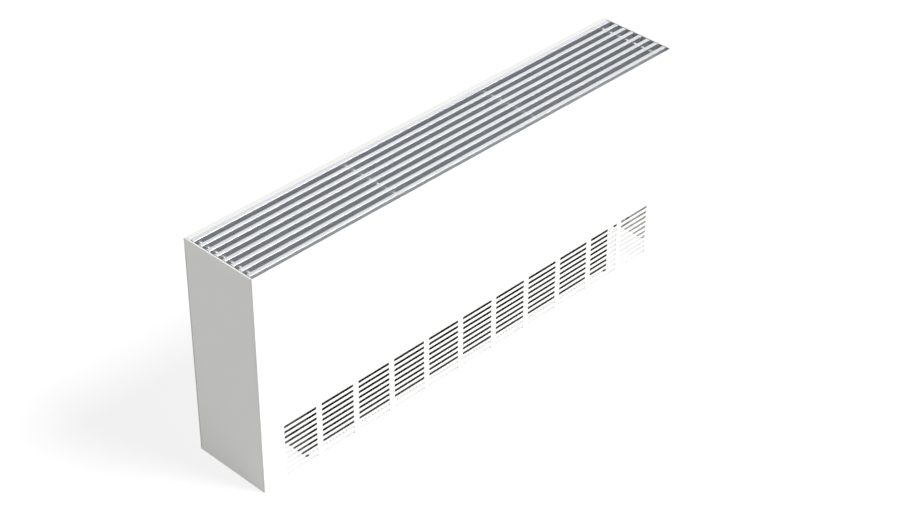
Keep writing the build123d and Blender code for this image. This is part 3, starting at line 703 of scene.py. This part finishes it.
def modelScrew(grip, v):
    # head on the origin, facing -Y
    head = addRound("screw", (0, -v["headHeight"] / 2, 0), "Y", v["headRadius"], v["headHeight"], 28)
    bevelPicked(head, lambda a, b: max(a.y, b.y) < -v["headHeight"] / 2, v["crown"], 4)
    crossFloor = v["crossDepth"] - v["headHeight"]
    for w, h in ((v["crossReach"], v["crossWidth"] / 2), (v["crossWidth"] / 2, v["crossReach"])):
        cutWith(head, addBlock("cross", (-w, -v["headHeight"] - mm, -h), (w, crossFloor, h)))
    shank = addRound("shank", (0, grip / 2, 0), "Y", v["shank"], grip, 24)
    head = joinPieces("screw", [head, shank])
    shadeByAngle(head)
    return head


def placeScrews(name, places, node, grip, v):
    # places are (point, facing) with facing -1 towards the front and 1 towards the back
    model = modelScrew(grip, v)
    pieces = [copyPiece(model, name, point, 0 if facing < 0 else math.pi) for point, facing in places]
    bpy.data.objects.remove(model)
    group = joinPieces(name, pieces)
    finishPiece(group, node, "casing", zincPlate)


def casingPlaces():
    # three up each back edge, and one at each end of both rails
    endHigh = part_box("left_end_panel")[1]
    frontRailLow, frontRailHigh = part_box("front_rail")
    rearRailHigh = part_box("rear_rail")[1]
    away = abs(endHigh.x - endValues["fold"] / 2)
    railMiddle = (frontRailLow.z + frontRailHigh.z) / 2
    places = []
    for x in (-away, away):
        places += [((x, endHigh.y - endValues["sheet"], level), -1) for level in backValues["screwLevels"]]
        places.append(((x, rearRailHigh.y - backValues["sheet"], railMiddle), -1))
        places.append(((x, frontRailLow.y + backValues["sheet"], railMiddle), 1))
    return places


def bracketPlaces(v):
    # two in each bracket's wall flanges, one in its middle
    places = []
    for side in ("left", "right"):
        low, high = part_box(f"{side}_bracket")
        centre = (low + high) / 2
        reach = (high.x - low.x) / 2 - v["bracketEdge"]
        for step in (-reach, reach):
            places.append(((centre.x + step, high.y - v["bracketGrip"], centre.z), -1))
        places.append(((centre.x, low.y - v["bracketGrip"], centre.z), -1))
    return places


placeScrews("casingScrews", casingPlaces(), "casing_screws", screwValues["casingGrip"], screwValues)
placeScrews("bracketScrews", bracketPlaces(screwValues), "bracket_screws", screwValues["bracketGrip"],
            screwValues)
print("screws placed")


# finishes for the pieces that keep their CAD shape
finishes = {
    railWhite: ["foot_rail", "panel_stiffener", "front_rail", "rear_rail", "left_ledge", "right_ledge",
                "left_brace", "right_brace"],
    # the rods and spacers are given a darker-than-bare steel tone as painted shade
    steelPaintedShade: ["left_tie_rod", "right_tie_rod", "grille_spacers"],
    zincPlate: ["panel_clips", "bleed_screw", "return_spindle", "supply_plug", "return_plug"],
    # tubes and end plates take the near-black coat too, as painted shade that hides them behind the slots
    graphiteCoatPaintedShade: ["front_upper_tube", "front_lower_tube", "rear_upper_tube", "rear_lower_tube",
                   "left_end_plate", "right_end_plate"],
    galvanised: ["left_bracket", "right_bracket"],
    nickel: ["air_vent_body"],
    bareBrass: ["supply_union_tail", "return_union_tail", "vent_boss"],
    fibre: ["supply_union_gasket", "return_union_gasket"],
}
for material, nodes in finishes.items():
    for node in nodes:
        setMaterial(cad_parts[node], material)
print("finishes set")


lightValues = {
    "world": {"strength": 0.10, "tint": (0.96, 0.98, 1, 1)},
    "key": {"from": (0.35, -0.55, 0.76), "power": 4.2, "spread": 24},
    "top": {"place": (2.62, 2.71, 2.85), "aim": (0, 0, 0.4), "size": (2.6, 2.2), "power": 19.5},
    "floor": {"size": 30, "drop": 0.5 * mm, "glow": 0.84, "dark": (0.19, 0.19, 0.192),
              "light": (0.21, 0.21, 0.21)},
}


def addKey(v):
    bpy.ops.object.light_add(type="SUN", rotation=Vector(v["from"]).to_track_quat("Z", "Y").to_euler())
    key = bpy.context.object
    key.name = "key"
    key.data.energy = v["power"]
    key.data.angle = math.radians(v["spread"])


def addTop(v):
    # the bar tops mirror this one towards the camera
    towards = Vector(v["aim"]) - Vector(v["place"])
    bpy.ops.object.light_add(type="AREA", location=v["place"],
                             rotation=towards.to_track_quat("-Z", "Y").to_euler())
    lamp = bpy.context.object
    lamp.name = "top"
    lamp.data.shape = "RECTANGLE"
    lamp.data.size, lamp.data.size_y = v["size"]
    lamp.data.energy = v["power"]


def addFloor(v):
    # a light table: it glows, so it stays white under the casing and takes only a faint shadow
    material = surface({"name": "floorPaper", "dark": v["dark"], "light": v["light"], "rough": (0.85, 0.95),
                        "patchScale": 2, "grainScale": 40, "grain": 0.02, "grainDepth": 0.001})
    shader = material.node_tree.nodes["Principled BSDF"]
    shader.inputs["Emission Color"].default_value = (1, 1, 1, 1)
    shader.inputs["Emission Strength"].default_value = v["glow"]
    shader.inputs["Specular IOR Level"].default_value = 0
    bpy.ops.mesh.primitive_plane_add(size=v["size"], location=(0, 0, -v["drop"]))
    floor = bpy.context.object
    floor.name = "floor"
    setMaterial(floor, material)


def addStudio(v):
    world = bpy.data.worlds.new("studio")
    bpy.context.scene.world = world
    world.use_nodes = True
    world.node_tree.nodes["Background"].inputs["Color"].default_value = v["world"]["tint"]
    world.node_tree.nodes["Background"].inputs["Strength"].default_value = v["world"]["strength"]
    addKey(v["key"])
    addTop(v["top"])
    addFloor(v["floor"])
    bpy.context.scene.view_settings.view_transform = "Standard"


addStudio(lightValues)
print("studio lit")
